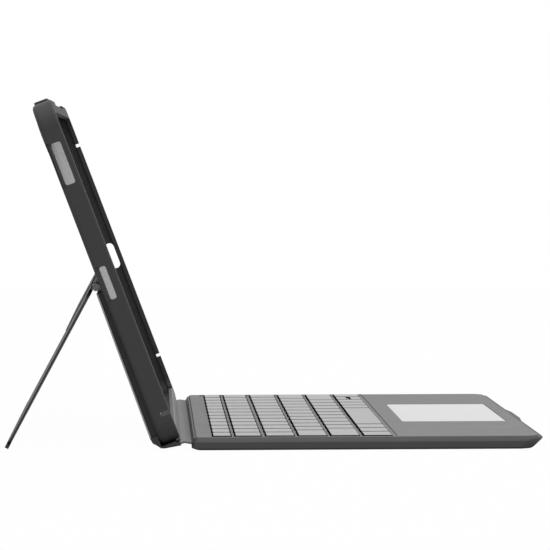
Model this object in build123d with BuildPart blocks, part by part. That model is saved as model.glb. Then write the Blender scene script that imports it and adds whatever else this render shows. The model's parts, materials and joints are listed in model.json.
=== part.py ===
from build123d import *
from math import cos, radians, sin
import os

# Tablet keyboard case: a rubber bumper case for a 10.9 inch class tablet, with a
# fold-out kickstand on its back and a keyboard joined to its foot by a fabric hinge.
# Row frame, millimetres: X is the user's right, -Y is towards the user, +Z is up.
# The origin is the centre of the keyboard's underside, on the desk.
# The case stands leaning back by case_tilt, in its typing position. Its own
# coordinates are x, u (up its front) and w (depth behind its front lip).

os.makedirs("parts", exist_ok=True)

# ---------------------------------------------------------------- driving sizes
case_tilt = 20.8          # lean of the case from the vertical, degrees
case_foot_y = 94.6        # where the front lip plane meets the desk
case_width = 255.0
case_low = 6.0            # u of the bumper's lower edge
case_high = 195.4         # u of the bumper's upper edge
case_depth = 10.75        # front lip to back of the bumper
case_corner = 13.0

bay_width = 248.2         # pocket that holds the tablet
bay_low = 11.15
bay_high = 190.25
bay_front = 2.3           # depth of the lip's inner face
bay_floor = 8.6
bay_corner = 8.0
lip_overlap = 2.0         # how far the lip reaches over the tablet's glass

shell_front = 9.0         # rigid back shell, behind the bay lining
shell_back = 10.15
skin_foot_u = 98.6        # lower edge of the upper back skin, above the stand hinge

hinge_u = 95.0            # kickstand hinge axis, in case coordinates
hinge_w = 13.6
stand_lean = 28.3         # lean of the open stand from the vertical, degrees
stand_width = 244.0
stand_length = 95.75
knuckle_radius = 2.2
pin_radius = 1.1
pin_clearance = 0.05

tray_floor = 1.0
deck_top = 6.9
deck_under = 5.4
well_floor = 6.4

key_pitch = 18.6
key_gap = 1.7
key_clearance = 0.35
key_skirt = 0.6
key_base = 5.2
key_top = 7.0
first_key_x = -6.5 * key_pitch

# Back edge, depth and unit widths of every key row, from the hinge to the user.
function_row = (80.1, 9.9, [1.0] * 13)
number_row = (68.4, 14.0, [1.0] * 13)
upper_row = (52.3, 15.3, [1.0] * 13)
home_row = (35.2, 15.3, [1.55] + [1.0] * 10 + [1.45])
shift_row = (18.1, 15.3, [2.0] + [1.0] * 9 + [2.0])
bottom_row = (1.0, 15.3, [3.2 / 3] * 3 + [5.0] + [0.96] * 5)

pad_width = 102.0
pad_depth = 57.4
pad_x = 5.0
pad_y = -55.1
pad_gap = 0.3

# ---------------------------------------------------------------- working planes
tilt_sin = sin(radians(case_tilt))
tilt_cos = cos(radians(case_tilt))
stand_sin = sin(radians(stand_lean))
stand_cos = cos(radians(stand_lean))
case_origin = (0, case_foot_y, 0)
case_middle = (case_low + case_high) / 2
bay_height = bay_high - bay_low
half_width = case_width / 2

# Front lip plane: local x is x, local y is u, the normal points at the user.
case_face = Plane(origin=case_origin, x_dir=(1, 0, 0), z_dir=(0, -tilt_cos, tilt_sin))
# Section of the case: local x is u, local y is w, the normal is -X.
case_section = Plane(origin=case_origin, x_dir=(0, tilt_sin, tilt_cos), z_dir=(-1, 0, 0))
# Plan of the case seen down its slope: local x is x, local y is w, the normal is u.
case_plan = Plane(origin=case_origin, x_dir=(1, 0, 0), z_dir=(0, tilt_sin, tilt_cos))
depth_axis = Axis(case_origin, (0, tilt_cos, -tilt_sin))
slope_axis = Axis(case_origin, (0, tilt_sin, tilt_cos))

hinge_axis_point = (
    0,
    case_foot_y + hinge_u * tilt_sin + hinge_w * tilt_cos,
    hinge_u * tilt_cos - hinge_w * tilt_sin,
)
# Stand: local x is x, local y is s (towards the foot), the normal is n (outwards).
stand_face = Plane(origin=hinge_axis_point, x_dir=(1, 0, 0), z_dir=(0, stand_cos, stand_sin))
# Section of the stand: local x is s, local y is n, the normal is +X.
stand_section = Plane(
    origin=hinge_axis_point, x_dir=(0, stand_sin, -stand_cos), z_dir=(1, 0, 0)
)
# Section of the case about the hinge axis: local x is u, local y is w.
hinge_section = Plane(
    origin=hinge_axis_point, x_dir=(0, tilt_sin, tilt_cos), z_dir=(-1, 0, 0)
)

# ================================================================= the case
# u from, u to, w from, w to of the openings in the bumper's side walls.
power_window = (150.5, 173.3, 2.9, 8.3)
side_window = (87.0, 105.0, 4.3, 7.8)
scoop_w = 9.7             # front edge of the finger scoop behind the power button
scoop_inset = 2.8
lip_notch_u = 22.2
lanyard_slit_u = 10.7
strip_half_width = 119.0
strip_rebate_depth = 2.6
strip_rebate_top = 13.5
lip_joints_u = (34.0, 171.0)
port_u = case_middle
pencil_half_width = 64.0
pencil_recess = 2.4
volume_x = (-105.0, -89.0)
volume_w = 5.35
magnet_x = [-100, -60, -20, 20, 60, 100]
magnet_length = 18.0
camera_x = -105.0
camera_u = 178.0
camera_radius = 8.2

# Bumper: a rubber ring whose front lip holds the tablet. It has openings for the
# power button, the speaker, the port and the pencil, and seats for the rest.
with BuildPart() as bumper_frame:
    with BuildSketch(case_face.offset(-case_depth)):
        with Locations((0, case_middle)):
            RectangleRounded(case_width, case_high - case_low, case_corner)
    extrude(amount=case_depth)
    fillet(bumper_frame.faces().sort_by(depth_axis)[-1].edges(), 2.5)
    fillet(bumper_frame.faces().sort_by(depth_axis)[0].edges(), 1.0)
    # Bay, open at the back for the shell, and the opening inside the lip.
    with BuildSketch(case_face.offset(-case_depth)):
        with Locations((0, case_middle)):
            RectangleRounded(bay_width, bay_height, bay_corner)
    extrude(amount=case_depth - bay_front, mode=Mode.SUBTRACT)
    with BuildSketch(case_face.offset(-bay_front)):
        with Locations((0, (bay_low + bay_high) / 2)):
            RectangleRounded(
                bay_width - 2 * lip_overlap, bay_height - 2 * lip_overlap, bay_corner - lip_overlap
            )
    extrude(amount=bay_front, mode=Mode.SUBTRACT)
    # Rebate of the docking strip along the lower edge, and its magnet pockets.
    with BuildSketch(case_face.offset(-strip_rebate_depth)):
        with Locations((0, strip_rebate_top / 2)):
            Rectangle(2 * strip_half_width, strip_rebate_top)
    extrude(amount=strip_rebate_depth, mode=Mode.SUBTRACT)
    with BuildSketch(case_face.offset(-4.4)):
        with Locations([(x, 8.7) for x in magnet_x]):
            Rectangle(magnet_length, 3.4)
    extrude(amount=4.4 - strip_rebate_depth, mode=Mode.SUBTRACT)
    # Windows through the left wall, and the finger scoop behind the power button.
    for u_from, u_to, w_from, w_to in (power_window, side_window):
        with BuildSketch(case_section.offset(bay_width / 2 - 1)):
            with Locations(((u_from + u_to) / 2, (w_from + w_to) / 2)):
                RectangleRounded(u_to - u_from, w_to - w_from, 1.2)
        extrude(amount=8, mode=Mode.SUBTRACT)
    for inset, scoop_front in ((scoop_inset, scoop_w), (scoop_inset - 1.8, power_window[3])):
        with BuildSketch(case_section.offset(half_width - inset)):
            with Locations(((power_window[0] + power_window[1]) / 2, scoop_front + 2)):
                Rectangle(24, 4)
        extrude(amount=8, mode=Mode.SUBTRACT)
    with BuildSketch(case_section.offset(half_width - 0.8)):
        with Locations(((side_window[0] + side_window[1]) / 2, case_depth - 1.4)):
            Rectangle(19, 3.6)
    extrude(amount=8, mode=Mode.SUBTRACT)
    # Notch in the left lip and the shallow lanyard slit below it.
    with BuildSketch(case_section.offset(bay_width / 2 - 3)):
        with Locations((lip_notch_u, 2.4)):
            Rectangle(2.4, 5.4)
    extrude(amount=10, mode=Mode.SUBTRACT)
    with BuildSketch(case_section.offset(half_width - 1.5)):
        with Locations((lanyard_slit_u, 7.9)):
            SlotOverall(5.8, 1.3, rotation=90)
    extrude(amount=8, mode=Mode.SUBTRACT)
    # Right wall: flex joints in the lip, and the charging port.
    with BuildSketch(case_section.offset(-half_width - 1)):
        with Locations([(u, 1.0) for u in lip_joints_u]):
            Rectangle(2.0, 2.8)
        with Locations((port_u, 5.45)):
            SlotOverall(16, 5.4)
    extrude(amount=8, mode=Mode.SUBTRACT)
    # Upper wall: pencil opening, and the seats of the two volume buttons.
    with BuildSketch(case_plan.offset(case_high - pencil_recess)):
        with Locations((0, case_depth / 2)):
            Rectangle(2 * pencil_half_width, case_depth + 2)
    extrude(amount=6, mode=Mode.SUBTRACT)
    with BuildSketch(case_plan.offset(bay_high - 1)):
        with Locations((0, 5.45)):
            RectangleRounded(120, 5.7, 2.5)
        with Locations([(x, volume_w) for x in volume_x]):
            RectangleRounded(9.0, 3.6, 1.2)
    extrude(amount=8, mode=Mode.SUBTRACT)
    with BuildSketch(case_plan.offset(case_high - 1.1)):
        with Locations([(x, volume_w) for x in volume_x]):
            RectangleRounded(13.5, 7.9, 1.8)
    extrude(amount=3, mode=Mode.SUBTRACT)
    with BuildSketch(case_plan.offset(bay_high - 1)):
        with Locations([(x, volume_w) for x in volume_x]):
            RectangleRounded(11.2, 5.6, 1.5)
    extrude(amount=2.95, mode=Mode.SUBTRACT)
bumper_frame.part.label = "bumper_frame"
export_step(bumper_frame.part, "parts/bumper_frame.step")

# Rigid back shell, held in the bumper behind the bay.
with BuildPart() as back_shell:
    with BuildSketch(case_face.offset(-shell_back)):
        with Locations((0, case_middle)):
            RectangleRounded(bay_width, bay_height, bay_corner)
        with Locations((camera_x, camera_u)):
            Circle(camera_radius, mode=Mode.SUBTRACT)
    extrude(amount=shell_back - shell_front)
back_shell.part.label = "back_shell"
export_step(back_shell.part, "parts/back_shell.step")

# Microfibre lining on the floor of the tablet bay.
with BuildPart() as bay_lining:
    with BuildSketch(case_face.offset(-shell_front)):
        with Locations((0, case_middle)):
            RectangleRounded(bay_width - 0.4, bay_height - 0.4, bay_corner - 0.2)
        with Locations((camera_x, camera_u)):
            Circle(camera_radius, mode=Mode.SUBTRACT)
    extrude(amount=shell_front - bay_floor)
bay_lining.part.label = "bay_lining"
export_step(bay_lining.part, "parts/bay_lining.step")

# Skin on the upper half of the back, flush with the bumper's back edge.
with BuildPart() as upper_back_skin:
    with BuildSketch(case_face.offset(-case_depth)):
        with Locations((0, case_middle)):
            RectangleRounded(bay_width, bay_height, bay_corner)
        with Locations((0, skin_foot_u / 2)):
            Rectangle(bay_width, skin_foot_u, mode=Mode.SUBTRACT)
        with Locations((camera_x, camera_u)):
            Circle(camera_radius, mode=Mode.SUBTRACT)
    extrude(amount=case_depth - shell_back)
upper_back_skin.part.label = "upper_back_skin"
export_step(upper_back_skin.part, "parts/upper_back_skin.step")

# Flanged ring around the camera opening.
with BuildPart() as camera_ring:
    with BuildSketch(case_face.offset(-case_depth)):
        with Locations((camera_x, camera_u)):
            Circle(camera_radius)
    extrude(amount=case_depth - bay_floor)
    with BuildSketch(case_face.offset(-case_depth - 0.6)):
        with Locations((camera_x, camera_u)):
            Circle(camera_radius + 1.2)
    extrude(amount=0.6)
    fillet(camera_ring.faces().sort_by(depth_axis)[-1].edges(), 0.4)
    with BuildSketch(case_face):
        with Locations((camera_x, camera_u)):
            Circle(camera_radius - 1.2)
    extrude(amount=-20, mode=Mode.SUBTRACT)
camera_ring.part.label = "camera_ring"
export_step(camera_ring.part, "parts/camera_ring.step")


def volume_button(x):
    """Pad, plunger and inner collar of one volume button at x."""
    with BuildPart() as button:
        with BuildSketch(case_plan.offset(case_high - 0.25)):
            with Locations((x, volume_w)):
                RectangleRounded(13.0, 7.5, 1.6)
        extrude(amount=1.55)
        fillet(button.faces().sort_by(slope_axis)[-1].edges(), 0.6)
        with BuildSketch(case_plan.offset(bay_high + 1.8)):
            with Locations((x, volume_w)):
                RectangleRounded(8.8, 3.4, 1.1)
        extrude(amount=case_high - 0.25 - bay_high - 1.8)
        with BuildSketch(case_plan.offset(bay_high + 0.8)):
            with Locations((x, volume_w)):
                RectangleRounded(10.8, 5.2, 1.3)
        extrude(amount=1.0)
    return button.part


volume_up_button = volume_button(volume_x[0])
volume_up_button.label = "volume_up_button"
export_step(volume_up_button, "parts/volume_up_button.step")
volume_down_button = volume_button(volume_x[1])
volume_down_button.label = "volume_down_button"
export_step(volume_down_button, "parts/volume_down_button.step")

# Docking strip in the rebate of the lower lip, with blind magnet pockets behind.
strip_low = 5.4
strip_high = 12.9
strip_front = 0.2
strip_back = 2.5
with BuildPart() as docking_strip:
    with BuildSketch(case_face.offset(-strip_back)):
        with Locations((0, (strip_low + strip_high) / 2)):
            RectangleRounded(2 * strip_half_width - 1, strip_high - strip_low, 1.0)
    extrude(amount=strip_back - strip_front)
    fillet(docking_strip.faces().sort_by(depth_axis)[0].edges(), 0.5)
    with BuildSketch(case_face.offset(-strip_back)):
        with Locations([(x, 8.7) for x in magnet_x]):
            Rectangle(magnet_length, 4.0)
    extrude(amount=1.5, mode=Mode.SUBTRACT)
docking_strip.part.label = "docking_strip"
export_step(docking_strip.part, "parts/docking_strip.step")

with BuildPart() as docking_magnets:
    with BuildSketch(case_face.offset(-strip_back)):
        with Locations([(x, 8.7) for x in magnet_x]):
            Rectangle(magnet_length - 0.2, 3.8)
    extrude(amount=1.4)
docking_magnets.part.label = "docking_magnets"
export_step(docking_magnets.part, "parts/docking_magnets.step")

with BuildPart() as case_magnets:
    with BuildSketch(case_face.offset(-4.35)):
        with Locations([(x, 8.7) for x in magnet_x]):
            Rectangle(magnet_length - 0.2, 3.2)
    extrude(amount=1.7)
case_magnets.part.label = "case_magnets"
export_step(case_magnets.part, "parts/case_magnets.step")

# Lower back panel that the stand folds against. It thickens towards the foot.
panel_low = 12.1
panel_high = 92.3
panel_back_high = 14.0    # w of its skin at the upper end
panel_back_low = 14.95    # w of its skin at the foot
skin_depth = 0.8
groove_inset = 1.5        # the panel stops short of its skin at both sides
leaf_u = 76.0
leaf_depth = 1.0
hinge_x = (-84.0, 84.0)
leaf_length = 30.0
latch_x = (-95.0, 95.0)
latch_radius = 4.0
latch_u = 22.0

with BuildPart() as stand_base_panel:
    with BuildSketch(case_section.offset(groove_inset - stand_width / 2)):
        Polygon(
            (panel_low, case_depth),
            (panel_high, case_depth),
            (panel_high, panel_back_high - skin_depth),
            (panel_low, panel_back_low - skin_depth),
            align=None,
        )
    extrude(amount=stand_width - 2 * groove_inset)
    # Seats of the two fixed hinge leaves and of the latch magnets.
    with BuildSketch(case_face.offset(-12.4)):
        with Locations([(x, (leaf_u + panel_high) / 2) for x in hinge_x]):
            Rectangle(leaf_length, panel_high - leaf_u)
    extrude(amount=12.4 - case_depth, mode=Mode.SUBTRACT)
    with BuildSketch(case_face.offset(-13.9)):
        with Locations([(x, latch_u) for x in latch_x]):
            Circle(latch_radius)
    extrude(amount=1.2, mode=Mode.SUBTRACT)
    with BuildSketch(case_face.offset(-14.6)):
        with Locations([(x, latch_u) for x in latch_x]):
            Circle(latch_radius)
    extrude(amount=0.8, mode=Mode.SUBTRACT)
    # Pilot holes of the leaf screws.
    with BuildSketch(case_face.offset(-13.0)):
        for x in hinge_x:
            with Locations((x, 82)):
                with GridLocations(20, 8, 2, 2):
                    Circle(0.7)
    extrude(amount=1.0, mode=Mode.SUBTRACT)
stand_base_panel.part.label = "stand_base_panel"
export_step(stand_base_panel.part, "parts/stand_base_panel.step")

with BuildPart() as base_latch_magnets:
    with BuildSketch(case_face.offset(-13.85)):
        with Locations([(x, latch_u) for x in latch_x]):
            Circle(latch_radius - 0.1)
    extrude(amount=1.1)
base_latch_magnets.part.label = "base_latch_magnets"
export_step(base_latch_magnets.part, "parts/base_latch_magnets.step")

with BuildPart() as stand_base_skin:
    with BuildSketch(case_section.offset(-stand_width / 2)):
        Polygon(
            (panel_low, panel_back_low - skin_depth),
            (panel_high, panel_back_high - skin_depth),
            (panel_high, panel_back_high),
            (panel_low, panel_back_low),
            align=None,
        )
    extrude(amount=stand_width)
stand_base_skin.part.label = "stand_base_skin"
export_step(stand_base_skin.part, "parts/stand_base_skin.step")

# Spine: the skin and its padding that wrap the case's lower edge.
with BuildPart() as spine_skin:
    with BuildSketch(case_section.offset(-stand_width / 2)):
        with BuildLine():
            Polyline(
                (panel_low, case_depth),
                (panel_low, panel_back_low),
                (9.1, 14.4),
                (7.3, 12.8),
                (5.3, 11.4),
                (4.5, 9.5),
                (2.9, 1.0),
                (5.2, 1.0),
                (5.2, 2.7),
                (5.9, 2.7),
                (5.9, case_depth + 0.05),
                (panel_low, case_depth + 0.05),
            )
        make_face()
    extrude(amount=stand_width)
spine_skin.part.label = "spine_skin"
export_step(spine_skin.part, "parts/spine_skin.step")

# ---------------------------------------------------------------- stand hinge
# Five knuckles a side: three on the fixed leaf, two on the moving leaf.
knuckle_length = 5.8
knuckle_pitch = 6.05
fixed_knuckles = [-2, 0, 2]
moving_knuckles = [-1, 1]
leaf_seat = 2.9           # leaves run full width from here, clear of the knuckles

with BuildPart() as hinge_fixed_leaves:
    with BuildSketch(case_face.offset(-12.4)):
        with Locations([(x, (leaf_u + 92.1) / 2) for x in hinge_x]):
            Rectangle(leaf_length - 0.2, 92.1 - leaf_u)
        with Locations([(x + k * knuckle_pitch, 93.5) for x in hinge_x for k in fixed_knuckles]):
            Rectangle(knuckle_length, 3.0)
    extrude(amount=leaf_depth)
    with Locations(
        [hinge_section.offset(x + k * knuckle_pitch) for x in hinge_x for k in fixed_knuckles]
    ):
        Cylinder(knuckle_radius, knuckle_length)
        Cylinder(pin_radius, knuckle_length, mode=Mode.SUBTRACT)
    with BuildSketch(case_face.offset(-12.4)):
        for x in hinge_x:
            with Locations((x, 82)):
                with GridLocations(20, 8, 2, 2):
                    Circle(0.7)
    extrude(amount=leaf_depth, mode=Mode.SUBTRACT)
hinge_fixed_leaves.part.label = "hinge_fixed_leaves"
export_step(hinge_fixed_leaves.part, "parts/hinge_fixed_leaves.step")

with BuildPart() as hinge_leaf_screws:
    with BuildSketch(case_face.offset(-13.0)):
        for x in hinge_x:
            with Locations((x, 82)):
                with GridLocations(20, 8, 2, 2):
                    Circle(0.7)
    extrude(amount=1.6)
    with BuildSketch(case_face.offset(-11.4)):
        for x in hinge_x:
            with Locations((x, 82)):
                with GridLocations(20, 8, 2, 2):
                    Circle(1.3)
    extrude(amount=0.55)
hinge_leaf_screws.part.label = "hinge_leaf_screws"
export_step(hinge_leaf_screws.part, "parts/hinge_leaf_screws.step")

with BuildPart() as hinge_pins:
    with Locations([hinge_section.offset(x) for x in hinge_x]):
        Cylinder(pin_radius, leaf_length)
hinge_pins.part.label = "hinge_pins"
export_step(hinge_pins.part, "parts/hinge_pins.step")

# ================================================================= the kickstand
# A thin board between two skins. s runs from the hinge axis to the foot.
core_inner = 1.0
core_outer = 2.1
skin_inner = 0.7
skin_outer = 2.5
board_start = 2.9
board_end = 92.6
leaf_end = 20.0
stand_corner = 9.0

with BuildPart() as hinge_moving_leaves:
    with BuildSketch(stand_face.offset(core_inner)):
        with Locations([(x, (board_start + leaf_end) / 2) for x in hinge_x]):
            Rectangle(leaf_length - 0.2, leaf_end - board_start)
        with Locations([(x + k * knuckle_pitch, 1.5) for x in hinge_x for k in moving_knuckles]):
            Rectangle(knuckle_length, 3.0)
    extrude(amount=core_outer - core_inner)
    with Locations(
        [hinge_section.offset(x + k * knuckle_pitch) for x in hinge_x for k in moving_knuckles]
    ):
        Cylinder(knuckle_radius, knuckle_length)
        Cylinder(pin_radius + pin_clearance, knuckle_length, mode=Mode.SUBTRACT)
hinge_moving_leaves.part.label = "hinge_moving_leaves"
export_step(hinge_moving_leaves.part, "parts/hinge_moving_leaves.step")

with BuildPart() as kickstand_plate:
    with BuildSketch(stand_face.offset(core_inner)) as plate_outline:
        with Locations((0, (board_start + board_end) / 2)):
            Rectangle(stand_width - 1.6, board_end - board_start)
        fillet(plate_outline.vertices().group_by(Axis.Z)[0], stand_corner - 3)
        with Locations([(x, (board_start + leaf_end) / 2) for x in hinge_x]):
            Rectangle(leaf_length, leaf_end - board_start, mode=Mode.SUBTRACT)
        with Locations([(x, hinge_u - latch_u) for x in latch_x]):
            Circle(latch_radius, mode=Mode.SUBTRACT)
    extrude(amount=core_outer - core_inner)
kickstand_plate.part.label = "kickstand_plate"
export_step(kickstand_plate.part, "parts/kickstand_plate.step")

with BuildPart() as kickstand_latch_magnets:
    with BuildSketch(stand_face.offset(core_inner)):
        with Locations([(x, hinge_u - latch_u) for x in latch_x]):
            Circle(latch_radius - 0.1)
    extrude(amount=core_outer - core_inner)
kickstand_latch_magnets.part.label = "kickstand_latch_magnets"
export_step(kickstand_latch_magnets.part, "parts/kickstand_latch_magnets.step")

with BuildPart() as kickstand_inner_skin:
    with BuildSketch(stand_face.offset(skin_inner)) as inner_outline:
        with Locations((0, (board_start + board_end) / 2)):
            Rectangle(stand_width, board_end - board_start)
        fillet(inner_outline.vertices().group_by(Axis.Z)[0], stand_corner - 3)
    extrude(amount=core_inner - skin_inner)
kickstand_inner_skin.part.label = "kickstand_inner_skin"
export_step(kickstand_inner_skin.part, "parts/kickstand_inner_skin.step")

with BuildPart() as kickstand_outer_skin:
    with BuildSketch(stand_face.offset(core_outer)) as outer_outline:
        with Locations((0, (board_start + board_end) / 2)):
            Rectangle(stand_width, board_end - board_start)
        fillet(outer_outline.vertices().group_by(Axis.Z)[0], stand_corner - 3)
    extrude(amount=skin_outer - core_outer)
kickstand_outer_skin.part.label = "kickstand_outer_skin"
export_step(kickstand_outer_skin.part, "parts/kickstand_outer_skin.step")

# Rubber strip along the stand's foot.
with BuildPart() as foot_strip:
    with BuildSketch(stand_face.offset(skin_inner - 0.1)) as foot_outline:
        with Locations((0, stand_length / 2)):
            Rectangle(stand_width, stand_length)
        fillet(foot_outline.vertices().group_by(Axis.Z)[0], stand_corner)
        with Locations((0, board_end / 2)):
            Rectangle(stand_width + 2, board_end, mode=Mode.SUBTRACT)
        with Locations((0, (board_start + board_end) / 2)):
            RectangleRounded(stand_width, board_end - board_start, stand_corner - 3, mode=Mode.SUBTRACT)
    extrude(amount=skin_outer - skin_inner + 0.2)
foot_strip.part.label = "foot_strip"
export_step(foot_strip.part, "parts/foot_strip.step")

# Outer cover over the stand's upper edge, rounded about the hinge axis.
cover_inner = 2.95
cover_outer = 3.5
cover_end = 26.0
cover_wrap = 25.0
with BuildPart() as hinge_cover:
    with BuildSketch(stand_section.offset(-stand_width / 2)):
        with BuildLine():
            wrap_outer = CenterArc((0, 0), cover_outer, 90, cover_wrap)
            wrap_inner = CenterArc((0, 0), cover_inner, 90, cover_wrap)
            Line(wrap_outer @ 1, wrap_inner @ 1)
            Polyline(
                wrap_outer @ 0,
                (cover_end, cover_outer),
                (cover_end, cover_inner),
                wrap_inner @ 0,
            )
        make_face()
    extrude(amount=stand_width)
hinge_cover.part.label = "hinge_cover"
export_step(hinge_cover.part, "parts/hinge_cover.step")

# Flexible hinge skin: from under the outer cover, over the knuckles, to the case.
flex_inner = 2.5
flex_outer = 2.85
flex_turn = 180 - case_tilt - stand_lean
with BuildPart() as kickstand_hinge_skin:
    with BuildSketch(stand_section.offset(-stand_width / 2)):
        with BuildLine():
            arch_outer = CenterArc((0, 0), flex_outer, 90, flex_turn)
            arch_inner = CenterArc((0, 0), flex_inner, 90, flex_turn)
            Line(arch_outer @ 1, arch_inner @ 1)
            Polyline(
                arch_outer @ 0,
                (cover_end - 2, flex_outer),
                (cover_end - 2, flex_inner),
                arch_inner @ 0,
            )
        make_face()
    extrude(amount=stand_width)
kickstand_hinge_skin.part.label = "kickstand_hinge_skin"
export_step(kickstand_hinge_skin.part, "parts/kickstand_hinge_skin.step")

# ================================================================= the keyboard
front_corner = 9.0
back_corner = 3.0
cavity_width = 244.0
cavity_back = 88.0
cavity_front = -86.0
deck_seat_width = 246.0
deck_seat_back = 89.0
deck_seat_front = -91.5
screw_points = [
    (x, y) for y in (85.3, -20.4) for x in (-118.5, 0, 118.5)
] + [(x, -83.0) for x in (-118.5, -60.0, 68.0, 118.5)]
port_y = -46.0

# Outer sections of the tray: height, half width, front edge and back edge.
tray_sections = [
    (0.0, 124.0, -88.4, 88.4),
    (1.0, 125.0, -89.5, 91.0),
    (4.2, 125.0, -92.9, 91.0),
    (5.3, 124.3, -94.0, 90.4),
    (6.2, 123.6, -93.2, 89.9),
]

# Tray: a shallow tub with a sloping front and a thumb tab at the middle.
with BuildPart() as keyboard_tray:
    for z, half, front, back in tray_sections:
        with BuildSketch(Plane.XY.offset(z)) as section:
            with Locations((0, (front + back) / 2)):
                Rectangle(2 * half, back - front)
            fillet(section.vertices().group_by(Axis.Y)[0], front_corner)
            fillet(section.vertices().group_by(Axis.Y)[-1], back_corner)
    loft(ruled=True)
    with BuildSketch(Plane.XY.offset(4.5)):
        Polygon((-44, -93), (-18, -95.4), (18, -95.4), (44, -93), align=None)
    extrude(amount=1.2)
    with BuildSketch(Plane.XY.offset(tray_floor)):
        with Locations((0, (cavity_front + cavity_back) / 2)):
            RectangleRounded(cavity_width, cavity_back - cavity_front, 4)
    extrude(amount=10, mode=Mode.SUBTRACT)
    with BuildSketch(Plane.XY.offset(deck_under)) as seat:
        with Locations((0, (deck_seat_front + deck_seat_back) / 2)):
            Rectangle(deck_seat_width, deck_seat_back - deck_seat_front)
        fillet(seat.vertices().group_by(Axis.Y)[0], front_corner - 1)
        fillet(seat.vertices().group_by(Axis.Y)[-1], back_corner - 1)
    extrude(amount=10, mode=Mode.SUBTRACT)
    # Countersunk screw holes in the floor, and the charging port's opening.
    with BuildSketch(Plane.XY):
        with Locations(screw_points):
            Circle(0.8)
    extrude(amount=tray_floor, mode=Mode.SUBTRACT)
    with BuildSketch(Plane.XY):
        with Locations(screw_points):
            Circle(1.5)
    extrude(amount=0.5, mode=Mode.SUBTRACT)
    with BuildSketch(Plane.YZ.offset(cavity_width / 2 - 1)):
        with Locations((port_y, 3.45)):
            SlotOverall(9.3, 3.3)
    extrude(amount=5, mode=Mode.SUBTRACT)
keyboard_tray.part.label = "keyboard_tray"
export_step(keyboard_tray.part, "parts/keyboard_tray.step")


def key_places(row):
    """Centre x, centre y, width and depth of each keycap in a row."""
    back, depth, widths = row
    places = []
    x = first_key_x
    for units in widths:
        pitch = units * key_pitch
        places.append((x + pitch / 2, back - depth / 2, pitch - key_gap, depth))
        x += pitch
    return places


function_places = key_places(function_row)
number_places = key_places(number_row)
upper_places = key_places(upper_row)
home_places = key_places(home_row)
shift_places = key_places(shift_row)
bottom_places = key_places(bottom_row)

# The last key but one of the bottom row is split into an upper and a lower arrow.
split_x, split_y, split_width, split_depth = bottom_places[7]
arrow_depth = (split_depth - key_gap) / 2
arrow_shift = (arrow_depth + key_gap) / 2
modifier_places = bottom_places[:3] + bottom_places[4:6]
space_places = bottom_places[3:4]
arrow_places = [
    bottom_places[6],
    (split_x, split_y + arrow_shift, split_width, arrow_depth),
    (split_x, split_y - arrow_shift, split_width, arrow_depth),
    bottom_places[8],
]
all_places = (
    function_places + number_places + upper_places + home_places + shift_places
    + modifier_places + space_places + arrow_places
)

# Deck: the palm rest and the grid between the keys, with bosses for the screws.
well_back = 82.7
well_front = -16.8
well_width = 245.0
with BuildPart() as keyboard_deck:
    with BuildSketch(Plane.XY.offset(deck_under)) as deck_outline:
        with Locations((0, (deck_seat_front + deck_seat_back) / 2)):
            Rectangle(deck_seat_width - 0.3, deck_seat_back - deck_seat_front - 0.3)
        fillet(deck_outline.vertices().group_by(Axis.Y)[0], front_corner - 1.15)
        fillet(deck_outline.vertices().group_by(Axis.Y)[-1], back_corner - 1.15)
    extrude(amount=deck_top - deck_under)
    fillet(keyboard_deck.faces().sort_by(Axis.Z)[-1].edges(), 0.5)
    with BuildSketch(Plane.XY.offset(well_floor)):
        with Locations((0, (well_back + well_front) / 2)):
            RectangleRounded(well_width, well_back - well_front, 1.5)
    extrude(amount=2, mode=Mode.SUBTRACT)
    with BuildSketch(Plane.XY.offset(deck_under - 1)):
        for x, y, width, depth in all_places:
            with Locations((x, y)):
                RectangleRounded(width + 2 * key_clearance, depth + 2 * key_clearance, 1.3)
        with Locations((pad_x, pad_y)):
            RectangleRounded(pad_width + 2 * pad_gap, pad_depth + 2 * pad_gap, 1.5)
    extrude(amount=4, mode=Mode.SUBTRACT)
    with BuildSketch(Plane.XY.offset(tray_floor)):
        with Locations(screw_points):
            Circle(2.0)
    extrude(amount=deck_under - tray_floor)
    with BuildSketch(Plane.XY.offset(tray_floor)):
        with Locations(screw_points):
            Circle(0.7)
    extrude(amount=3.5, mode=Mode.SUBTRACT)
keyboard_deck.part.label = "keyboard_deck"
export_step(keyboard_deck.part, "parts/keyboard_deck.step")

with BuildPart() as deck_screws:
    with BuildSketch(Plane.XY):
        with Locations(screw_points):
            Circle(0.7)
    extrude(amount=4.0)
    with BuildSketch(Plane.XY):
        with Locations(screw_points):
            Circle(1.4)
    extrude(amount=0.5)
deck_screws.part.label = "deck_screws"
export_step(deck_screws.part, "parts/deck_screws.step")


def keycaps(places):
    """Row of keycaps: a crowned cap above a skirt that the deck holds down."""
    with BuildPart() as caps:
        with BuildSketch(Plane.XY.offset(key_base)):
            for x, y, width, depth in places:
                with Locations((x, y)):
                    RectangleRounded(width, depth, 1.0)
        extrude(amount=key_top - key_base)
        fillet(caps.faces().filter_by(Axis.Z).group_by(Axis.Z)[-1].edges(), 0.3)
        with BuildSketch(Plane.XY.offset(key_base - 0.3)):
            for x, y, width, depth in places:
                with Locations((x, y)):
                    RectangleRounded(width + 2 * key_skirt, depth + 2 * key_skirt, 1.2)
        extrude(amount=0.4)
    return caps.part


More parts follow.
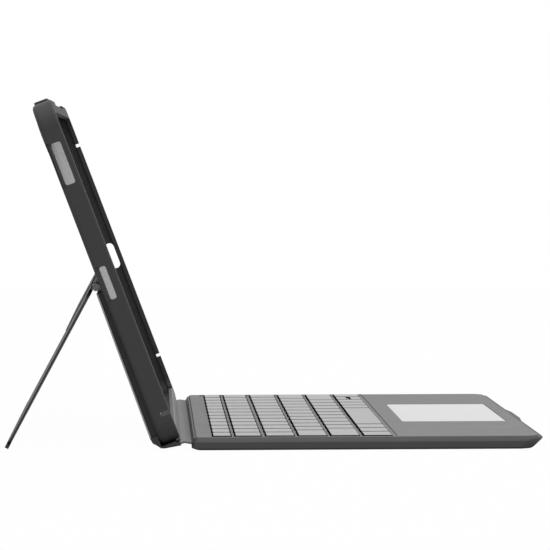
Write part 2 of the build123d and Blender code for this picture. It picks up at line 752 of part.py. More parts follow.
function_keys = keycaps(function_places)
function_keys.label = "function_keys"
export_step(function_keys, "parts/function_keys.step")
number_keys = keycaps(number_places)
number_keys.label = "number_keys"
export_step(number_keys, "parts/number_keys.step")
upper_letter_keys = keycaps(upper_places)
upper_letter_keys.label = "upper_letter_keys"
export_step(upper_letter_keys, "parts/upper_letter_keys.step")
home_row_keys = keycaps(home_places)
home_row_keys.label = "home_row_keys"
export_step(home_row_keys, "parts/home_row_keys.step")
lower_letter_keys = keycaps(shift_places)
lower_letter_keys.label = "lower_letter_keys"
export_step(lower_letter_keys, "parts/lower_letter_keys.step")
modifier_keys = keycaps(modifier_places)
modifier_keys.label = "modifier_keys"
export_step(modifier_keys, "parts/modifier_keys.step")
space_bar = keycaps(space_places)
space_bar.label = "space_bar"
export_step(space_bar, "parts/space_bar.step")
arrow_keys = keycaps(arrow_places)
arrow_keys.label = "arrow_keys"
export_step(arrow_keys, "parts/arrow_keys.step")

# ---------------------------------------------------------------- under the keys
plate_depth = 0.6
membrane_depth = 0.35
plate_back = 83.0
plate_front = -16.0
membrane_top = tray_floor + plate_depth + membrane_depth

with BuildPart() as support_plate:
    with BuildSketch(Plane.XY.offset(tray_floor)):
        with Locations((0, (plate_back + plate_front) / 2)):
            RectangleRounded(242, plate_back - plate_front, 2)
    extrude(amount=plate_depth)
support_plate.part.label = "support_plate"
export_step(support_plate.part, "parts/support_plate.step")

with BuildPart() as membrane_sheet:
    with BuildSketch(Plane.XY.offset(tray_floor + plate_depth)):
        with Locations((0, (plate_back + plate_front) / 2)):
            RectangleRounded(241, plate_back - plate_front - 1, 2)
    extrude(amount=membrane_depth)
membrane_sheet.part.label = "membrane_sheet"
export_step(membrane_sheet.part, "parts/membrane_sheet.step")

# One rubber dome under each keycap.
dome_height = key_base - 0.35 - membrane_top
with BuildPart() as rubber_domes:
    with Locations([(x, y, membrane_top) for x, y, width, depth in all_places]):
        Cone(2.8, 1.6, dome_height, align=(Align.CENTER, Align.CENTER, Align.MIN))
rubber_domes.part.label = "rubber_domes"
export_step(rubber_domes.part, "parts/rubber_domes.step")

# ---------------------------------------------------------------- under the palm rest
board_top = 1.85
with BuildPart() as battery_cell:
    with BuildSketch(Plane.XY.offset(tray_floor)):
        with Locations((-84, -51)):
            RectangleRounded(56, 46, 2)
    extrude(amount=3.6)
    fillet(battery_cell.faces().sort_by(Axis.Z)[-1].edges(), 0.6)
battery_cell.part.label = "battery_cell"
export_step(battery_cell.part, "parts/battery_cell.step")

with BuildPart() as controller_board:
    with BuildSketch(Plane.XY.offset(tray_floor)):
        with Locations((92.5, -50)):
            RectangleRounded(49, 40, 1)
    extrude(amount=board_top - tray_floor)
controller_board.part.label = "controller_board"
export_step(controller_board.part, "parts/controller_board.step")

with BuildPart() as charging_socket:
    with BuildSketch(Plane.YZ.offset(117)):
        with Locations((port_y, board_top + 1.6)):
            SlotOverall(9.0, 3.2)
    extrude(amount=7.4)
    with BuildSketch(Plane.YZ.offset(119)):
        with Locations((port_y, board_top + 1.6)):
            SlotOverall(8.4, 2.6)
            SlotOverall(6.8, 0.8, mode=Mode.SUBTRACT)
    extrude(amount=6, mode=Mode.SUBTRACT)
charging_socket.part.label = "charging_socket"
export_step(charging_socket.part, "parts/charging_socket.step")

with BuildPart() as flex_cable:
    with BuildSketch(Plane.XY.offset(membrane_top)):
        with Locations((86, -24.5)):
            Rectangle(12, 20)
    extrude(amount=0.15)
flex_cable.part.label = "flex_cable"
export_step(flex_cable.part, "parts/flex_cable.step")

with BuildPart() as closing_magnets:
    with BuildSketch(Plane.XY.offset(deck_under - 1.4)):
        with Locations((-100, -80), (100, -80)):
            Circle(4)
    extrude(amount=1.4)
closing_magnets.part.label = "closing_magnets"
export_step(closing_magnets.part, "parts/closing_magnets.step")

# ---------------------------------------------------------------- trackpad
glass_top = 6.8
glass_under = 6.0
board_under = 5.0
switch_y = pad_y - pad_depth / 2 + 6

with BuildPart() as trackpad_glass:
    with BuildSketch(Plane.XY.offset(glass_under)):
        with Locations((pad_x, pad_y)):
            RectangleRounded(pad_width, pad_depth, 1.2)
    extrude(amount=glass_top - glass_under)
    fillet(trackpad_glass.faces().sort_by(Axis.Z)[-1].edges(), 0.25)
trackpad_glass.part.label = "trackpad_glass"
export_step(trackpad_glass.part, "parts/trackpad_glass.step")

with BuildPart() as trackpad_board:
    with BuildSketch(Plane.XY.offset(board_under)):
        with Locations((pad_x, pad_y)):
            RectangleRounded(pad_width - 4, pad_depth - 4, 1)
    extrude(amount=glass_under - board_under)
trackpad_board.part.label = "trackpad_board"
export_step(trackpad_board.part, "parts/trackpad_board.step")

with BuildPart() as trackpad_bracket:
    with BuildSketch(Plane.XY.offset(2.6)):
        with Locations((pad_x, pad_y)):
            RectangleRounded(pad_width + 8, pad_depth + 3.6, 2)
    extrude(amount=deck_under - 2.6)
    with BuildSketch(Plane.XY.offset(3.2)):
        with Locations((pad_x, pad_y)):
            RectangleRounded(pad_width + 4, pad_depth + 1.6, 1.5)
    extrude(amount=5, mode=Mode.SUBTRACT)
trackpad_bracket.part.label = "trackpad_bracket"
export_step(trackpad_bracket.part, "parts/trackpad_bracket.step")

with BuildPart() as trackpad_switch:
    with BuildSketch(Plane.XY.offset(3.2)):
        with Locations((pad_x, switch_y)):
            RectangleRounded(6, 6, 0.8)
    extrude(amount=0.9)
    with BuildSketch(Plane.XY.offset(4.1)):
        with Locations((pad_x, switch_y)):
            Circle(1.6)
    extrude(amount=0.5)
trackpad_switch.part.label = "trackpad_switch"
export_step(trackpad_switch.part, "parts/trackpad_switch.step")

# ================================================================= fabric hinge
# Woven strip between the case's spine and the keyboard's back edge. y, z section.
with BuildPart() as hinge_fabric:
    with BuildSketch(Plane.YZ.offset(-stand_width / 2)):
        with BuildLine():
            Polyline(
                (96.5, 2.45),
                (94.6, 3.4),
                (91.05, 3.0),
                (91.05, 4.1),
                (94.6, 4.6),
                (96.9, 4.3),
                (96.5, 2.45),
            )
        make_face()
    extrude(amount=stand_width)
hinge_fabric.part.label = "hinge_fabric"
export_step(hinge_fabric.part, "parts/hinge_fabric.step")
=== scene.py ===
import json
import math

import bmesh
import bpy
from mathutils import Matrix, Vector


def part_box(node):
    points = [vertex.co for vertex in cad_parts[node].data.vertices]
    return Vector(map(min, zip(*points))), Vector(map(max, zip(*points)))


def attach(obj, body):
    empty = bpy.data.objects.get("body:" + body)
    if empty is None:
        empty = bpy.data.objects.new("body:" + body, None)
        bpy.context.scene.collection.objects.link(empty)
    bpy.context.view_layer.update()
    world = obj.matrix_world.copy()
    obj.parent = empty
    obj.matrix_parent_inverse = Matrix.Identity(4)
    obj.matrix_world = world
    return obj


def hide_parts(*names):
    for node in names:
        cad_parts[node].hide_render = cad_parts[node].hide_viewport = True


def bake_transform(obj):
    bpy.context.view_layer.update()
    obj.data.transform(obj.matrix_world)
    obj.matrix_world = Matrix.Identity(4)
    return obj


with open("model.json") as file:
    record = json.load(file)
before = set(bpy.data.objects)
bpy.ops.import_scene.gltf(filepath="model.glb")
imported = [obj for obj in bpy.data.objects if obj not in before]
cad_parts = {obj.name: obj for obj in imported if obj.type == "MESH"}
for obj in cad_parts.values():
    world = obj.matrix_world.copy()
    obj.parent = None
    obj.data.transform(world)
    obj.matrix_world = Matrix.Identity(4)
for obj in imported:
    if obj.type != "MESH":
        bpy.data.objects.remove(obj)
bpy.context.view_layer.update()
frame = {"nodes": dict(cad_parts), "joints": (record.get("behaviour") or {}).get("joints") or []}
nodes = frame["nodes"]
joints = {joint["name"]: joint for joint in frame["joints"]}

MM = 0.001
CASE_TILT = math.radians(20.8)
STAND_LEAN = math.radians(28.3)
STAND_PIVOT = Vector(joints["kickstand_hinge"]["pos_m"])


# ------------------------------------------------------------------ materials
def new_material(name):
    """Empty node material: its tree, Principled shader and object coordinates."""
    made = bpy.data.materials.new(name)
    made.use_nodes = True
    tree = made.node_tree
    shader = tree.nodes["Principled BSDF"]
    place = tree.nodes.new("ShaderNodeTexCoord")
    return made, tree, shader, place.outputs["Object"]


def noise(tree, coordinates, scale, detail=4.0, roughness=0.55):
    node = tree.nodes.new("ShaderNodeTexNoise")
    node.inputs["Scale"].default_value = scale
    node.inputs["Detail"].default_value = detail
    node.inputs["Roughness"].default_value = roughness
    tree.links.new(coordinates, node.inputs["Vector"])
    return node.outputs["Fac"]


def wave(tree, coordinates, axis, spacing, distortion=0.0):
    """Bands across one axis, a given distance apart."""
    node = tree.nodes.new("ShaderNodeTexWave")
    node.bands_direction = axis
    node.inputs["Scale"].default_value = math.pi / 10.0 / spacing
    node.inputs["Distortion"].default_value = distortion
    tree.links.new(coordinates, node.inputs["Vector"])
    return node.outputs["Fac"]


def turned(tree, coordinates, angles, stretch=(1, 1, 1)):
    node = tree.nodes.new("ShaderNodeMapping")
    node.inputs["Rotation"].default_value = angles
    node.inputs["Scale"].default_value = stretch
    tree.links.new(coordinates, node.inputs["Vector"])
    return node.outputs["Vector"]


def math_node(tree, operation, first, second):
    node = tree.nodes.new("ShaderNodeMath")
    node.operation = operation
    for index, value in enumerate((first, second)):
        if isinstance(value, (int, float)):
            node.inputs[index].default_value = value
        else:
            tree.links.new(value, node.inputs[index])
    return node.outputs[0]


def spread(tree, factor, low, high):
    """Rescales a 0 to 1 factor to the range low to high."""
    node = tree.nodes.new("ShaderNodeMapRange")
    node.inputs["To Min"].default_value = low
    node.inputs["To Max"].default_value = high
    tree.links.new(factor, node.inputs["Value"])
    return node.outputs["Result"]


def shade(tree, shader, colour, factor, low, high):
    """Base colour varied by a factor, from low to high times the colour."""
    node = tree.nodes.new("ShaderNodeMix")
    node.data_type = "RGBA"
    node.blend_type = "MULTIPLY"
    node.inputs["Factor"].default_value = 1.0
    node.inputs[6].default_value = (*colour, 1.0)
    tree.links.new(spread(tree, factor, low, high), node.inputs[7])
    tree.links.new(node.outputs[2], shader.inputs["Base Color"])
    return node.outputs[2]


def lighter_edges(tree, shader, colour_output, edge_colour):
    """Faces that look sideways, the cut edges of a sheet, take another colour."""
    geometry = tree.nodes.new("ShaderNodeNewGeometry")
    split = tree.nodes.new("ShaderNodeSeparateXYZ")
    tree.links.new(geometry.outputs["True Normal"], split.inputs[0])
    sideways = math_node(tree, "ABSOLUTE", split.outputs["X"], 0.0)
    is_edge = math_node(tree, "GREATER_THAN", sideways, CUT_EDGE_NORMAL)
    node = tree.nodes.new("ShaderNodeMix")
    node.data_type = "RGBA"
    tree.links.new(is_edge, node.inputs["Factor"])
    tree.links.new(colour_output, node.inputs[6])
    node.inputs[7].default_value = (*edge_colour, 1.0)
    tree.links.new(node.outputs[2], shader.inputs["Base Color"])


TOP_FACE_NORMAL = 0.9      # least upward part of the normal that counts as a top face
CUT_EDGE_NORMAL = 0.8      # least sideways part of the normal that counts as a cut edge


def paint_side_shade(material, painted_shade_colour):
    """Painted shade: faces that look sideways take a near-black colour standing in for the shade on
    them, and lose their gloss; tops keep theirs.
    """
    tree = material.node_tree
    shader = tree.nodes["Principled BSDF"]
    geometry = tree.nodes.new("ShaderNodeNewGeometry")
    split = tree.nodes.new("ShaderNodeSeparateXYZ")
    tree.links.new(geometry.outputs["Normal"], split.inputs[0])
    unshaded_top = math_node(tree, "GREATER_THAN", split.outputs["Z"], TOP_FACE_NORMAL)
    node = tree.nodes.new("ShaderNodeMix")
    node.data_type = "RGBA"
    tree.links.new(unshaded_top, node.inputs["Factor"])
    node.inputs[6].default_value = (*painted_shade_colour, 1.0)
    tree.links.new(shader.inputs["Base Color"].links[0].from_socket, node.inputs[7])
    tree.links.new(node.outputs[2], shader.inputs["Base Color"])
    for name in ("Specular IOR Level", "Coat Weight"):
        level = shader.inputs[name].default_value
        tree.links.new(math_node(tree, "MULTIPLY", unshaded_top, level), shader.inputs[name])


def relief(tree, shader, height, depth, strength=1.0):
    node = tree.nodes.new("ShaderNodeBump")
    node.inputs["Strength"].default_value = strength
    node.inputs["Distance"].default_value = depth
    tree.links.new(height, node.inputs["Height"])
    tree.links.new(node.outputs["Normal"], shader.inputs["Normal"])


def moulded(name, colour, roughness, grain, depth, variation=0.12, specular=0.5, coat=0.0):
    """Moulded rubber or plastic: fine grain, slow colour drift, uneven gloss."""
    made, tree, shader, place = new_material(name)
    fine = noise(tree, place, grain)
    broad = noise(tree, place, 35.0, 3.0)
    shade(tree, shader, colour, broad, 1.0 - variation, 1.0 + variation)
    smudge = noise(tree, place, 90.0, 2.0)
    tree.links.new(
        spread(tree, smudge, roughness - 0.06, roughness + 0.06), shader.inputs["Roughness"]
    )
    shader.inputs["Specular IOR Level"].default_value = specular
    shader.inputs["Coat Weight"].default_value = coat
    shader.inputs["Coat Roughness"].default_value = 0.35
    relief(tree, shader, fine, depth)
    return made


def crosshatched(name, colour, roughness, spacing, depth, edge_colour=None):
    """Coated skin with a fine diagonal cross-hatch, light where it is cut."""
    made, tree, shader, place = new_material(name)
    turned_left = turned(tree, place, (0.0, 0.0, math.radians(45)))
    turned_right = turned(tree, place, (0.6, 0.0, math.radians(-45)))
    one = wave(tree, turned_left, "X", spacing, 0.4)
    other = wave(tree, turned_right, "X", spacing, 0.4)
    hatch = math_node(tree, "MULTIPLY", one, other)
    pores = noise(tree, place, 2400.0, 3.0)
    height = math_node(tree, "ADD", hatch, math_node(tree, "MULTIPLY", pores, 0.5))
    broad = noise(tree, place, 28.0, 3.0)
    tone = math_node(tree, "ADD", math_node(tree, "MULTIPLY", hatch, 0.35), broad)
    painted = shade(tree, shader, colour, tone, 0.78, 1.22)
    if edge_colour:
        lighter_edges(tree, shader, painted, edge_colour)
    tree.links.new(spread(tree, hatch, roughness, roughness + 0.12), shader.inputs["Roughness"])
    relief(tree, shader, height, depth)
    return made


def woven(name, colour, spacing, depth, sheen=0.4):
    """Plain weave: warp and weft threads, fuzzy sheen and fibre noise."""
    made, tree, shader, place = new_material(name)
    warp = wave(tree, place, "X", spacing, 0.6)
    weft = wave(tree, place, "DIAGONAL", spacing, 0.6)
    threads = math_node(tree, "MAXIMUM", warp, weft)
    fibres = noise(tree, turned(tree, place, (0, 0, 0), (1, 6, 6)), 1800.0, 4.0)
    tone = math_node(
        tree, "ADD", math_node(tree, "MULTIPLY", threads, 0.5), math_node(tree, "MULTIPLY", fibres, 0.5)
    )
    shade(tree, shader, colour, tone, 0.62, 1.35)
    shader.inputs["Roughness"].default_value = 0.85
    shader.inputs["Sheen Weight"].default_value = sheen
    shader.inputs["Sheen Roughness"].default_value = 0.5
    relief(tree, shader, tone, depth)
    return made


def metal(name, colour, roughness, brushed=True):
    """Metal with fine brushing along X, or plain plating."""
    made, tree, shader, place = new_material(name)
    stretch = (4, 400, 400) if brushed else (60, 60, 60)
    lines = noise(tree, turned(tree, place, (0, 0, 0), stretch), 12.0, 6.0)
    shade(tree, shader, colour, lines, 0.85, 1.1)
    shader.inputs["Metallic"].default_value = 1.0
    tree.links.new(spread(tree, lines, roughness - 0.08, roughness + 0.12), shader.inputs["Roughness"])
    relief(tree, shader, lines, 0.00002)
    return made


def circuit(name, colour):
    """Solder resist over copper tracks."""
    made, tree, shader, place = new_material(name)
    tracks = tree.nodes.new("ShaderNodeTexVoronoi")
    tracks.distance = "CHEBYCHEV"
    tracks.inputs["Scale"].default_value = 260.0
    tree.links.new(place, tracks.inputs["Vector"])
    shade(tree, shader, colour, tracks.outputs["Distance"], 0.7, 1.6)
    shader.inputs["Roughness"].default_value = 0.35
    relief(tree, shader, tracks.outputs["Distance"], 0.00003)
    return made


BUMPER = moulded("bumper_rubber", (0.026, 0.026, 0.0265), 0.55, 2600.0, 0.00003)
SHELL = moulded("shell_plastic", (0.022, 0.022, 0.023), 0.5, 3200.0, 0.00004)
RING = moulded("camera_ring_plastic", (0.03, 0.03, 0.031), 0.32, 2000.0, 0.00001)
LINING = woven("bay_microfibre", (0.055, 0.055, 0.058), 0.0004, 0.00006, 0.6)
BACK_SKIN = crosshatched("back_skin", (0.052, 0.052, 0.054), 0.55, 0.0009, 0.00006)
STAND_SKIN = crosshatched("stand_skin", (0.06, 0.06, 0.062), 0.5, 0.0009, 0.00006, (0.2, 0.2, 0.2))
CUT_SKIN = crosshatched("cut_skin", (0.055, 0.055, 0.057), 0.55, 0.0009, 0.00006, (0.34, 0.34, 0.34))
COVER_SKIN = crosshatched("cover_skin", (0.04, 0.04, 0.041), 0.5, 0.0009, 0.00006, (0.06, 0.06, 0.06))
SPINE = crosshatched("spine_skin", (0.028, 0.028, 0.029), 0.55, 0.0009, 0.00006)
WEAVE = woven("hinge_weave", (0.105, 0.105, 0.107), 0.0005, 0.00008, 0.5)
BOARD = moulded("stand_board", (0.06, 0.06, 0.06), 0.6, 1500.0, 0.00004)
STRIP = moulded("docking_strip", (0.16, 0.16, 0.163), 0.45, 3000.0, 0.00002)
FOOT = moulded("foot_rubber", (0.03, 0.03, 0.03), 0.6, 2200.0, 0.00004)
TRAY = moulded("tray_plastic", (0.042, 0.042, 0.043), 0.5, 3000.0, 0.00003)
DECK = moulded("deck_plastic", (0.15, 0.15, 0.152), 0.6, 3600.0, 0.00004, 0.06)
KEYS = moulded("keycap_plastic", (0.23, 0.23, 0.234), 0.3, 3800.0, 0.00001, 0.05, 0.9, 0.5)
# painted shade: the keycaps' side walls are painted near-black where shade falls on them; the tops keep
# the light key colour
paint_side_shade(KEYS, (0.004, 0.004, 0.004))
PAD = moulded("trackpad_surface", (0.62, 0.62, 0.625), 0.34, 5000.0, 0.000003, 0.03)
STEEL = metal("hinge_steel", (0.42, 0.42, 0.43), 0.3)
NICKEL = metal("magnet_nickel", (0.6, 0.59, 0.56), 0.2, brushed=False)
FOIL = metal("battery_foil", (0.55, 0.55, 0.56), 0.35, brushed=False)
CIRCUIT = circuit("circuit_board", (0.02, 0.11, 0.05))
DOMES = moulded("dome_rubber", (0.45, 0.45, 0.43), 0.5, 1200.0, 0.00002)
FILM = moulded("membrane_film", (0.3, 0.26, 0.18), 0.3, 800.0, 0.00001)
SWITCH = moulded("switch_plastic", (0.08, 0.08, 0.08), 0.5, 2000.0, 0.00002)

FINISHES = {
    BUMPER: ["bumper_frame", "volume_up_button", "volume_down_button"],
    SHELL: ["back_shell", "stand_base_panel"],
    RING: ["camera_ring"],
    LINING: ["bay_lining"],
    BACK_SKIN: ["upper_back_skin"],
    STAND_SKIN: ["kickstand_outer_skin", "kickstand_inner_skin"],
    CUT_SKIN: ["stand_base_skin", "kickstand_hinge_skin"],
    COVER_SKIN: ["hinge_cover"],
    SPINE: ["spine_skin"],
    WEAVE: ["hinge_fabric"],
    BOARD: ["kickstand_plate"],
    STRIP: ["docking_strip"],
    FOOT: ["foot_strip"],
    TRAY: ["keyboard_tray"],
    DECK: ["keyboard_deck"],
    KEYS: [
        "function_keys", "number_keys", "upper_letter_keys", "home_row_keys",
        "lower_letter_keys", "modifier_keys", "space_bar", "arrow_keys",
    ],
    PAD: ["trackpad_glass"],
    STEEL: [
        "hinge_fixed_leaves", "hinge_moving_leaves", "hinge_pins", "hinge_leaf_screws",
        "deck_screws", "support_plate", "trackpad_bracket", "charging_socket",
    ],
    NICKEL: [
        "docking_magnets", "case_magnets", "base_latch_magnets",
        "kickstand_latch_magnets", "closing_magnets",
    ],
    FOIL: ["battery_cell"],
    CIRCUIT: ["trackpad_board", "controller_board"],
    DOMES: ["rubber_domes"],
    FILM: ["membrane_sheet", "flex_cable"],
    SWITCH: ["trackpad_switch"],
}
for finish, names in FINISHES.items():
    for name in names:
        nodes[name].data.materials.clear()
        nodes[name].data.materials.append(finish)


# ------------------------------------------------------------------ mesh helpers
def make_piece(name, vertices, faces, material, smooth=True):
    mesh = bpy.data.meshes.new(name)
    mesh.from_pydata(vertices, [], faces)
    mesh.materials.append(material)
    cleanup = bmesh.new()
    cleanup.from_mesh(mesh)
    bmesh.ops.recalc_face_normals(cleanup, faces=cleanup.faces)
    cleanup.to_mesh(mesh)
    cleanup.free()
    for polygon in mesh.polygons:
        polygon.use_smooth = smooth
    piece = bpy.data.objects.new(name, mesh)
    bpy.context.scene.collection.objects.link(piece)
    return piece


def rounded_outline(centre_x, centre_y, width, depth, radius, height, steps=5):
    """Points around a rounded rectangle at one height."""
    points = []
    for turn in range(4):
        sign_x = 1 if turn in (0, 3) else -1
        sign_y = 1 if turn in (0, 1) else -1
        corner_x = centre_x + sign_x * (width / 2 - radius)
        corner_y = centre_y + sign_y * (depth / 2 - radius)
        for step in range(steps + 1):
            angle = (turn + step / steps) * math.pi / 2
            points.append(
                (corner_x + radius * math.cos(angle), corner_y + radius * math.sin(angle), height)
            )
    return points


# ------------------------------------------------------------------ keycaps
KEY_ROWS = {
    "function_keys": "function_row",
    "number_keys": "number_row",
    "upper_letter_keys": "upper_row",
    "home_row_keys": "home_row",
    "lower_letter_keys": "lower_row",
    "modifier_keys": "modifiers",
    "space_bar": "space",
    "arrow_keys": "arrows",
}
KEY_SKIRT = 0.6 * MM
KEY_SKIRT_TOP = 0.4 * MM
KEY_SIDE_TAPER = 1.9        # side walls lean in more than the front and back ones
KEY_DISH = 0.4 * MM
KEY_CROWN = 0.3 * MM       # the moulded rim stands this much above the flat CAD cap


def solid_boxes(node):
    """Corner pairs of each separate solid in a CAD node, left to right."""
    work = bmesh.new()
    work.from_mesh(nodes[node].data)
    bmesh.ops.remove_doubles(work, verts=work.verts, dist=1e-6)
    work.verts.ensure_lookup_table()
    seen = set()
    boxes = []
    for start in work.verts:
        if start.index in seen:
            continue
        seen.add(start.index)
        stack = [start]
        island = []
        while stack:
            vertex = stack.pop()
            island.append(vertex.co.copy())
            for edge in vertex.link_edges:
                other = edge.other_vert(vertex)
                if other.index not in seen:
                    seen.add(other.index)
                    stack.append(other)
        low = Vector([min(p[axis] for p in island) for axis in range(3)])
        high = Vector([max(p[axis] for p in island) for axis in range(3)])
        boxes.append((low, high))
    work.free()
    return sorted(boxes, key=lambda pair: (pair[0].x, pair[0].y))


def add_keycap(vertices, faces, low, high):
    """One keycap: straight skirt, rounded shoulder and a gently dished top."""
    centre_x = (low.x + high.x) / 2
    centre_y = (low.y + high.y) / 2
    width = high.x - low.x - 2 * KEY_SKIRT
    depth = high.y - low.y - 2 * KEY_SKIRT
    top = high.z + KEY_CROWN
    # Inset from the cap's edge, height below its top, corner radius.
    shoulder = [
        (-KEY_SKIRT, top - low.z, 1.2 * MM),
        (-KEY_SKIRT, top - low.z - KEY_SKIRT_TOP, 1.2 * MM),
        (0.0, top - low.z - KEY_SKIRT_TOP, 1.0 * MM),
        (0.05 * MM, 0.8 * MM, 1.0 * MM),
        (0.15 * MM, 0.45 * MM, 1.0 * MM),
        (0.35 * MM, 0.18 * MM, 1.05 * MM),
        (0.65 * MM, 0.04 * MM, 1.1 * MM),
        (0.9 * MM, 0.0, 1.15 * MM),
    ]
    rings = [
        rounded_outline(
            centre_x,
            centre_y,
            width - 2 * inset * (KEY_SIDE_TAPER if inset > 0 else 1.0),
            depth - 2 * inset,
            radius,
            top - drop,
        )
        for inset, drop, radius in shoulder
    ]
    for share in (0.86, 0.68, 0.46, 0.22):
        fall = KEY_DISH * (1 - share * share)
        rings.append(
            [
                (centre_x + (x - centre_x) * share, centre_y + (y - centre_y) * share, top - fall)
                for x, y, _ in rings[len(shoulder) - 1]
            ]
        )
    first = len(vertices)
    count = len(rings[0])
    for ring in rings:
        vertices.extend(ring)
    for level in range(len(rings) - 1):
        for index in range(count):
            a = first + level * count + index
            b = first + level * count + (index + 1) % count
            faces.append((a, b, b + count, a + count))
    faces.append(tuple(first + index for index in reversed(range(count))))
    last = first + (len(rings) - 1) * count
    faces.append(tuple(last + index for index in range(count)))


for node, body in KEY_ROWS.items():
    vertices = []
    faces = []
    for low, high in solid_boxes(node):
        add_keycap(vertices, faces, low, high)
    caps = make_piece(node + "_caps", vertices, faces, KEYS)
    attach(caps, body)
    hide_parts(node)


# ------------------------------------------------------------------ fabric hinge
# Two waves along X make up the cloth's ripple: radians per metre, phase and share.
LONG_WAVE = 95.0
SHORT_WAVE = 233.0
SHORT_WAVE_PHASE = 1.3
SHORT_WAVE_SHARE = 0.6


def sheet(name, section, half_width, thickness, material, columns=60, ripple=0.0):
    """Cloth strip: a smooth section line (y, z) swept along X, with real thickness."""
    dense = smooth_line(section, 8)
    vertices = []
    faces = []
    rows = len(dense)
    for side in (1, -1):
        for row, (y, z) in enumerate(dense):
            before = dense[max(row - 1, 0)]
            after = dense[min(row + 1, rows - 1)]
            along = Vector((after[0] - before[0], after[1] - before[1])).normalized()
            normal = Vector((-along.y, along.x))
            share = row / (rows - 1)
            slack = math.sin(share * math.pi)
            for column in range(columns + 1):
                x = -half_width + 2 * half_width * column / columns
                long_wave = math.sin(x * LONG_WAVE)
                short_wave = SHORT_WAVE_SHARE * math.sin(x * SHORT_WAVE + SHORT_WAVE_PHASE)
                lift = ripple * slack * (long_wave + short_wave)
                offset = side * thickness / 2 + lift
                vertices.append((x, y + normal.x * offset, z + normal.y * offset))
    stride = columns + 1
    layer = rows * stride
    for row in range(rows - 1):
        for column in range(columns):
            a = row * stride + column
            faces.append((a, a + 1, a + stride + 1, a + stride))
            b = a + layer
            faces.append((b, b + stride, b + stride + 1, b + 1))
    for row in range(rows - 1):
        for column in (0, columns):
            a = row * stride + column
            faces.append((a, a + stride, a + stride + layer, a + layer))
    for column in range(columns):
        for row in (0, rows - 1):
            a = row * stride + column
            faces.append((a, a + 1, a + 1 + layer, a + layer))
    return make_piece(name, vertices, faces, material)


def smooth_line(points, steps):
    """Catmull-Rom curve through 2-D points."""
    padded = [points[0]] + list(points) + [points[-1]]
    line = []
    for index in range(1, len(padded) - 2):
        p0, p1, p2, p3 = (Vector(p) for p in padded[index - 1:index + 3])
        for step in range(steps):
            t = step / steps
            line.append(
                tuple(
                    0.5 * (
                        2 * p1 + (p2 - p0) * t
                        + (2 * p0 - 5 * p1 + 4 * p2 - p3) * t * t
                        + (3 * p1 - p0 - 3 * p2 + p3) * t * t * t
                    )
                )
            )
    line.append(tuple(points[-1]))
    return line


fabric_low, fabric_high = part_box("hinge_fabric")
half_fabric = fabric_high.x - 0.4 * MM
FABRIC_THICKNESS = 0.9 * MM
FABRIC_RIPPLE = 0.06 * MM
fabric_line = [
    (fabric_low.y - 0.3 * MM, 3.45 * MM),
    (fabric_low.y + 1.4 * MM, 3.6 * MM),
    (fabric_low.y + 3.5 * MM, 3.95 * MM),
    (fabric_high.y - 0.8 * MM, 3.6 * MM),
    (fabric_high.y + 0.1 * MM, 3.2 * MM),
]
hinge_strip = sheet(
    "hinge_fabric_strip", fabric_line, half_fabric, FABRIC_THICKNESS, WEAVE, 80, FABRIC_RIPPLE
)
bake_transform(hinge_strip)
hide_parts("hinge_fabric")


# ------------------------------------------------------------------ kickstand hinge skin
def stand_point(s, n):
    """Row-frame (y, z) of the open stand's own coordinates."""
    y = STAND_PIVOT.y + s * math.sin(STAND_LEAN) + n * math.cos(STAND_LEAN)
    z = STAND_PIVOT.z - s * math.cos(STAND_LEAN) + n * math.sin(STAND_LEAN)
    return (y, z)


ARCH_RADIUS = 2.68 * MM
ARCH_THICKNESS = 0.35 * MM
ARCH_TURN = math.pi - CASE_TILT - STAND_LEAN
arch_line = [stand_point(24 * MM, ARCH_RADIUS), stand_point(12 * MM, ARCH_RADIUS)]
for step in range(9):
    angle = ARCH_TURN * step / 8
    arch_line.append(stand_point(-ARCH_RADIUS * math.sin(angle), ARCH_RADIUS * math.cos(angle)))
arch_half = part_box("kickstand_hinge_skin")[1].x
stand_arch = sheet("kickstand_hinge_arch", arch_line, arch_half, ARCH_THICKNESS, CUT_SKIN, 8)
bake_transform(stand_arch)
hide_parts("kickstand_hinge_skin")


# ------------------------------------------------------------------ stage
FLOOR_CLEARNESS = 0.985    # how much of the floor the camera sees through


def floor_material():
    """Pale floor: lights the object from below, nearly clear to the camera."""
    made = bpy.data.materials.new("pale_floor")
    made.use_nodes = True
    tree = made.node_tree
    tree.nodes.remove(tree.nodes["Principled BSDF"])
    output = tree.nodes["Material Output"]
    diffuse = tree.nodes.new("ShaderNodeBsdfDiffuse")
    diffuse.inputs["Color"].default_value = (0.5, 0.5, 0.5, 1.0)
    clear = tree.nodes.new("ShaderNodeBsdfTransparent")
    rays = tree.nodes.new("ShaderNodeLightPath")
    mix = tree.nodes.new("ShaderNodeMixShader")
    share = math_node(tree, "MULTIPLY", rays.outputs["Is Camera Ray"], FLOOR_CLEARNESS)
    tree.links.new(share, mix.inputs[0])
    tree.links.new(diffuse.outputs[0], mix.inputs[1])
    tree.links.new(clear.outputs[0], mix.inputs[2])
    tree.links.new(mix.outputs[0], output.inputs["Surface"])
    return made


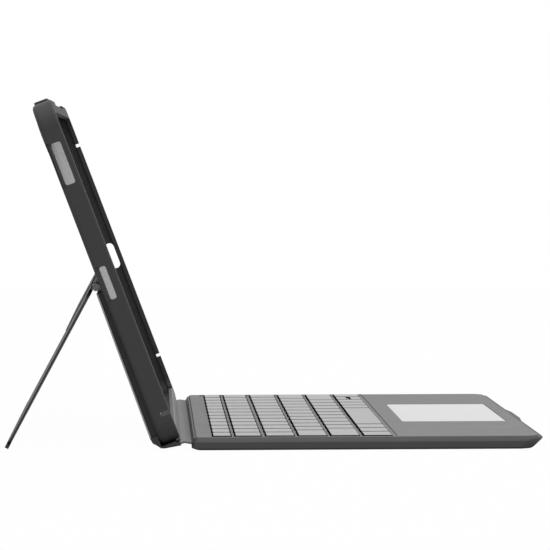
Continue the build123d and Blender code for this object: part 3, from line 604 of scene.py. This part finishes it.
floor_half = 1.6
floor_height = -0.4 * MM
floor = make_piece(
    "floor",
    [
        (-floor_half, -floor_half, floor_height), (floor_half, -floor_half, floor_height),
        (floor_half, floor_half, floor_height), (-floor_half, floor_half, floor_height),
    ],
    [(0, 1, 2, 3)],
    floor_material(),
    smooth=False,
)

scene = bpy.context.scene
scene.view_settings.view_transform = "Standard"
world = bpy.data.worlds.new("studio")
world.use_nodes = True
sky = world.node_tree
sky_place = sky.nodes.new("ShaderNodeTexCoord")
sky_split = sky.nodes.new("ShaderNodeSeparateXYZ")
sky.links.new(sky_place.outputs["Generated"], sky_split.inputs[0])
sky_rays = sky.nodes.new("ShaderNodeLightPath")
sky_light = sky.nodes.new("ShaderNodeMapRange")
sky_light.inputs["From Min"].default_value = -0.3
sky_light.inputs["From Max"].default_value = 0.35
sky_light.inputs["To Min"].default_value = 0.15
sky_light.inputs["To Max"].default_value = 1.0
sky.links.new(sky_split.outputs["Z"], sky_light.inputs["Value"])
sky_strength = math_node(sky, "MAXIMUM", sky_light.outputs["Result"], sky_rays.outputs["Is Camera Ray"])
sky.nodes["Background"].inputs["Color"].default_value = (1.0, 1.0, 1.0, 1.0)
sky.links.new(sky_strength, sky.nodes["Background"].inputs["Strength"])
scene.world = world


def soft_light(name, place, target, size, power):
    lamp = bpy.data.lights.new(name, "AREA")
    lamp.size = size
    lamp.energy = power
    light = bpy.data.objects.new(name, lamp)
    light.location = place
    light.rotation_euler = (Vector(target) - Vector(place)).to_track_quat("-Z", "Y").to_euler()
    scene.collection.objects.link(light)


soft_light("overhead_light", (-0.3, -0.1, 1.3), (0, 0.03, 0.05), 1.2, 6.0)

# ------------------------------------------------------------------ camera
CAMERA_PLACE = Vector((-1.515, 0.1123, 0.1533))
CAMERA_TARGET = Vector((-0.1275, 0.04786, 0.09147))
lens = bpy.data.cameras.new("camera")
lens.lens = 175.5
lens.sensor_width = 36.0
camera = bpy.data.objects.new("camera", lens)
camera.location = CAMERA_PLACE
camera.rotation_euler = (CAMERA_TARGET - CAMERA_PLACE).to_track_quat("-Z", "Y").to_euler()
scene.collection.objects.link(camera)
scene.camera = camera
